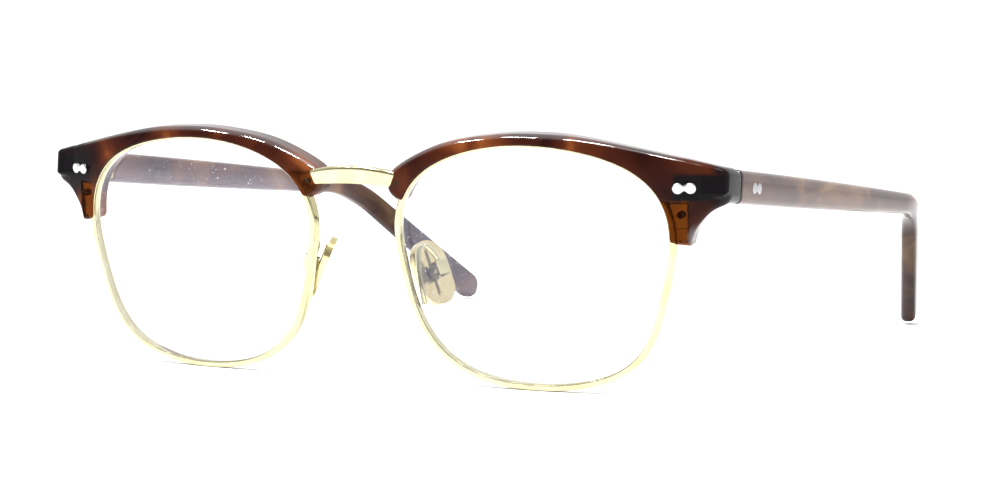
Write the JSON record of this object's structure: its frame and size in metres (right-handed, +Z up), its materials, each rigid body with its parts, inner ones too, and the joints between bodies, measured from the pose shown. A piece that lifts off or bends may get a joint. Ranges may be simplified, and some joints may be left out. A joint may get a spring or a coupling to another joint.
{
  "type": "eyeglasses",
  "caption": "Half-rim browline eyeglasses with wire lower rims, tortoise brows and folding temples with bent tips.",
  "frame": {"origin": "on the surface the glasses stand on, below the centre of the open glasses", "axes": "+X the wearer's left, +Y from the front back along the open temples, +Z up"},
  "size_m": [0.1386, 0.1494, 0.0454],
  "materials": {
    "tortoise": "polished tortoiseshell acetate",
    "gold": "polished pale gold plating",
    "steel": "polished",
    "lens": "clear, polished",
    "pad": "satin pale gold"
  },
  "bodies": {
    "front": {"bridge": "gold", "rim_left": "gold", "rim_right": "gold", "lens_left": "lens", "lens_right": "lens", "brow_left": "tortoise", "brow_right": "tortoise", "closing_block_left": "gold", "closing_block_right": "gold", "closing_screw_left": "steel", "closing_screw_right": "steel", "brow_screws_left": "steel", "brow_screws_right": "steel", "hinge_front_left": "gold", "hinge_front_right": "gold", "hinge_screw_left": "steel", "hinge_screw_right": "steel", "rivet_front_left": "steel", "rivet_front_right": "steel", "pad_arm_left": "gold", "pad_arm_right": "gold", "pad_screw_left": "steel", "pad_screw_right": "steel"},
    "temple_left": {"temple_left": "tortoise", "core_wire_left": "steel", "hinge_temple_left": "gold", "rivet_temple_left": "steel"},
    "pad_left": {"nose_pad_left": "pad"},
    "temple_right": {"temple_right": "tortoise", "core_wire_right": "steel", "hinge_temple_right": "gold", "rivet_temple_right": "steel"},
    "pad_right": {"nose_pad_right": "pad"}
  },
  "joints": [
    {"name": "temple_fold_left", "type": "hinge", "parent": "front", "child": "temple_left", "pos_m": [0.0634, -0.06144, 0.03633], "axis": [0, 0.0823, 0.9966], "range_deg": [0, 87]},
    {"name": "temple_fold_right", "type": "hinge", "parent": "front", "child": "temple_right", "pos_m": [-0.0634, -0.06144, 0.03633], "axis": [0, -0.0823, -0.9966], "range_deg": [0, 70]},
    {"name": "pad_rock_left", "type": "hinge", "parent": "front", "child": "pad_left", "pos_m": [0.01323, -0.06553, 0.02018], "axis": [0.3987, 0.9099, 0.1146], "range_deg": [-8, 8]},
    {"name": "pad_rock_right", "type": "hinge", "parent": "front", "child": "pad_right", "pos_m": [-0.01323, -0.06553, 0.02018], "axis": [0.3987, -0.9099, -0.1146], "range_deg": [-8, 8]}
  ]
}
